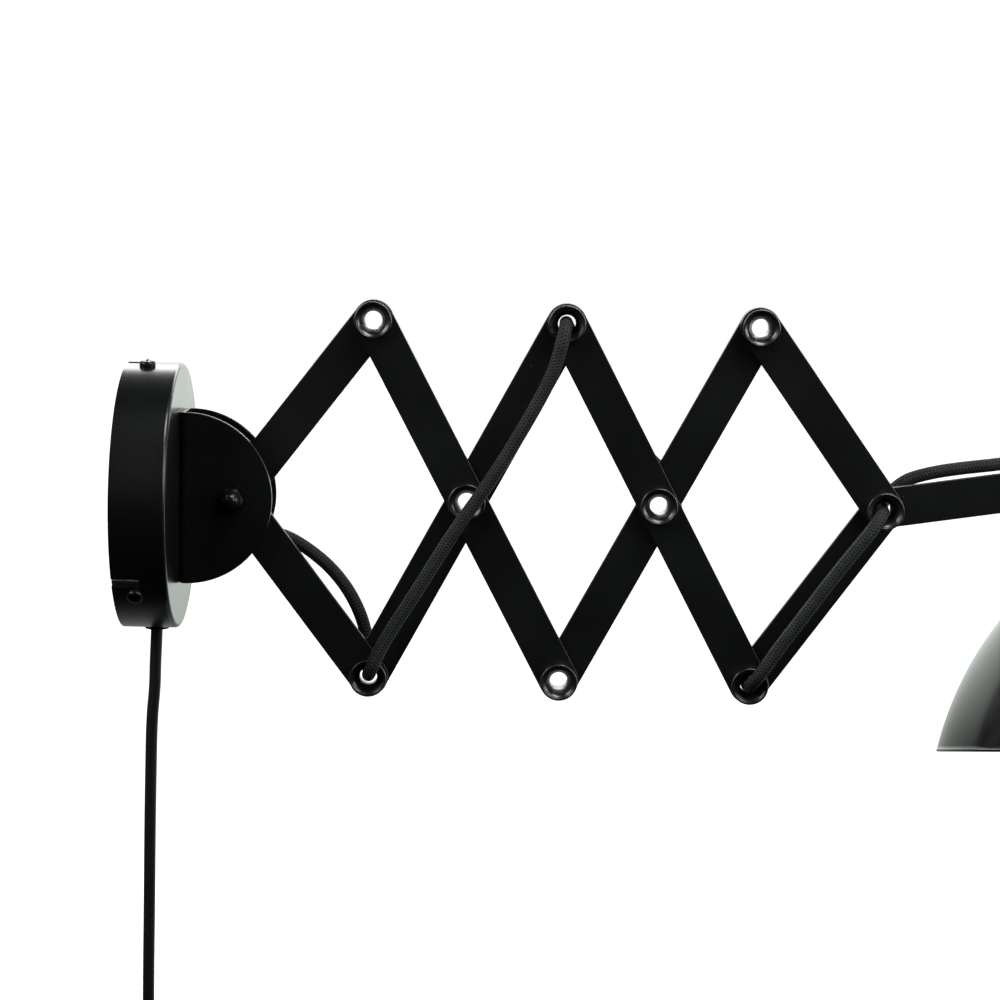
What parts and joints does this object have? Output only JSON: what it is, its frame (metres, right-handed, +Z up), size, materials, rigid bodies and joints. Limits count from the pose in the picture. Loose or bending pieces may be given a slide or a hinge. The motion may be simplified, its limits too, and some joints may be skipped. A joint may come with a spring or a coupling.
{
  "type": "accordion wall lamp",
  "caption": "Matt black wall lamp with a round canopy, a scissor arm with open eyelet pivots and a threaded textile lead, a tilting arm and a bell shade on a knuckle.",
  "frame": {"origin": "centre of the round canopy's back, in the plane of the wall", "axes": "+X out of the wall, square to it, the way the arm extends; +Z up; +Y completes a right-handed frame, so that the front, with the cap nut and the knurled head of the tilt screw, is at -Y"},
  "size_m": [0.556, 0.1837, 0.5361],
  "materials": {
    "satin_black": "satin powder coat",
    "bar_black": "satin powder coat",
    "shade_black": "satin powder coat",
    "gloss_black": "glossy black enamel",
    "dark_fastener": "black oxide, slightly worn",
    "zinc_steel": "bright zinc plate",
    "black_nylon": "matte",
    "white_nylon": "matte",
    "black_rubber": "matte",
    "black_braid": "woven",
    "holder_black": "moulded",
    "nickel_brass": "nickelled",
    "black_pvc": "matte sheath",
    "black_plastic": "fine texture",
    "plug_nickel": "nickelled"
  },
  "bodies": {
    "wall_unit": {"wall_plate": "zinc_steel", "canopy": "satin_black", "canopy_screws": "dark_fastener", "cord_grommet": "black_rubber", "cord_clamp": "white_nylon", "small_screws": "zinc_steel", "terminal_block": "white_nylon", "bracket": "satin_black", "bracket_screws": "zinc_steel", "lead_bushing": "black_nylon", "pivot_bolt": "dark_fastener", "pivot_cap_nut": "dark_fastener", "lead_entry": "black_braid", "mains_cord": "black_pvc", "cord_coil": "black_pvc", "cord_ties": "black_nylon", "switch_case": "black_plastic", "plug_body": "black_plastic", "plug_pins": "plug_nickel"},
    "swing_hub": {"pivot_sleeve": "zinc_steel", "pivot_spacers": "black_nylon"},
    "bar_1_lower": {"wall_bar_lower": "bar_black", "eyelet_bottom_1": "gloss_black", "eyelet_rings_wall_bar_lower": "gloss_black", "lead_to_bottom_1": "black_braid"},
    "bar_2_back": {"cross_bar_1_back": "bar_black", "lead_to_top_2": "black_braid"},
    "bar_2_front": {"cross_bar_1_front": "bar_black", "eyelet_top_1": "gloss_black", "eyelet_centre_1": "gloss_black", "eyelet_bottom_2": "gloss_black", "eyelet_rings_cross_bar_1_front": "gloss_black"},
    "bar_1_upper": {"wall_bar_upper": "bar_black"},
    "bar_3_front": {"cross_bar_2_front": "bar_black", "eyelet_top_2": "gloss_black", "eyelet_centre_2": "gloss_black", "eyelet_bottom_3": "gloss_black", "eyelet_rings_cross_bar_2_front": "gloss_black", "lead_to_bottom_3": "black_braid"},
    "bar_3_back": {"cross_bar_2_back": "bar_black"},
    "bar_4_lower": {"end_bar_lower": "bar_black", "lead_to_end": "black_braid"},
    "end_pin": {"eyelet_end": "gloss_black", "eyelet_rings_end_pivot": "gloss_black"},
    "bar_4_upper": {"end_bar_upper": "bar_black", "eyelet_top_3": "gloss_black", "eyelet_rings_end_bar_upper": "gloss_black"},
    "arm": {"shade_arm": "bar_black", "lead_on_arm": "black_braid"},
    "knuckle": {"shade_yoke": "satin_black", "thumb_screws": "dark_fastener"},
    "head": {"cap_fork": "satin_black", "holder_cap": "satin_black", "lead_gland": "black_nylon", "lampholder": "holder_black", "lampholder_contacts": "nickel_brass", "shade_ring": "holder_black", "shade": "shade_black", "lead_to_head": "black_braid"},
    "rocker": {"switch_rocker": "black_plastic"}
  },
  "joints": [
    {"name": "arm_swing", "type": "hinge", "parent": "wall_unit", "child": "swing_hub", "pos_m": [0.04815, 0, 0], "axis": [0, -1, 0], "range_deg": [-20, 20], "deforming": ["lead_entry"]},
    {"name": "arm_fold", "type": "hinge", "parent": "swing_hub", "child": "bar_1_lower", "pos_m": [0.04815, 0, 0], "axis": [0, 1, 0], "range_deg": [-15, 8], "deforming": ["lead_to_bottom_1"]},
    {"name": "fold_bottom_1", "type": "hinge", "parent": "bar_1_lower", "child": "bar_2_back", "pos_m": [0.10994, 0, -0.08116], "axis": [0, -1, 0], "range_deg": [-35.2, 18.82]},
    {"name": "fold_centre_1", "type": "hinge", "parent": "bar_2_back", "child": "bar_2_front", "pos_m": [0.15327, 0, 0], "axis": [0, 1, 0], "range_deg": [-40.3, 21.54]},
    {"name": "fold_top_1", "type": "hinge", "parent": "bar_2_front", "child": "bar_1_upper", "pos_m": [0.10994, 0, 0.08116], "axis": [0, -1, 0], "range_deg": [-35.2, 18.82]},
    {"name": "fold_top_2", "type": "hinge", "parent": "bar_2_back", "child": "bar_3_front", "pos_m": [0.1966, 0, 0.08116], "axis": [0, 1, 0], "range_deg": [-40.3, 21.54]},
    {"name": "fold_centre_2", "type": "hinge", "parent": "bar_3_front", "child": "bar_3_back", "pos_m": [0.23994, 0, 0], "axis": [0, -1, 0], "range_deg": [-40.3, 21.54]},
    {"name": "fold_bottom_3", "type": "hinge", "parent": "bar_3_front", "child": "bar_4_lower", "pos_m": [0.28327, 0, -0.08116], "axis": [0, -1, 0], "range_deg": [-36.02, 19.26]},
    {"name": "fold_end_pin", "type": "hinge", "parent": "bar_4_lower", "child": "end_pin", "pos_m": [0.3417, 0, 0], "axis": [0, 1, 0], "range_deg": [-15.92, 8.54]},
    {"name": "fold_end_upper", "type": "hinge", "parent": "end_pin", "child": "bar_4_upper", "pos_m": [0.3417, 0, 0], "axis": [0, 1, 0], "range_deg": [-15.92, 8.54]},
    {"name": "arm_tilt", "type": "hinge", "parent": "end_pin", "child": "arm", "pos_m": [0.3417, 0, 0], "axis": [0, -1, 0], "range_deg": [-15, 45]},
    {"name": "shade_tilt", "type": "hinge", "parent": "arm", "child": "knuckle", "pos_m": [0.45982, 0, 0.01808], "axis": [0, -1, 0], "range_deg": [-8, 50], "deforming": ["lead_on_arm"]},
    {"name": "shade_lean", "type": "hinge", "parent": "knuckle", "child": "head", "pos_m": [0.46016, 0.0042, -0.00142], "axis": [-0.9998, 0, -0.0175], "range_deg": [-35, 15], "deforming": ["lead_to_head"]},
    {"name": "switch_rock", "type": "hinge", "parent": "wall_unit", "child": "rocker", "pos_m": [0.019, 0, -0.275], "axis": [0, -1, 0], "range_deg": [0, 16]}
  ],
  "couplings": [
    {"joint": "fold_bottom_1", "follows": "arm_fold", "ratio": 2.34},
    {"joint": "fold_centre_1", "follows": "arm_fold", "ratio": 2.68},
    {"joint": "fold_top_1", "follows": "arm_fold", "ratio": 2.34},
    {"joint": "fold_top_2", "follows": "arm_fold", "ratio": 2.68},
    {"joint": "fold_centre_2", "follows": "arm_fold", "ratio": 2.68},
    {"joint": "fold_bottom_3", "follows": "arm_fold", "ratio": 2.395},
    {"joint": "fold_end_pin", "follows": "arm_fold", "ratio": 1.055},
    {"joint": "fold_end_upper", "follows": "arm_fold", "ratio": 1.055}
  ]
}
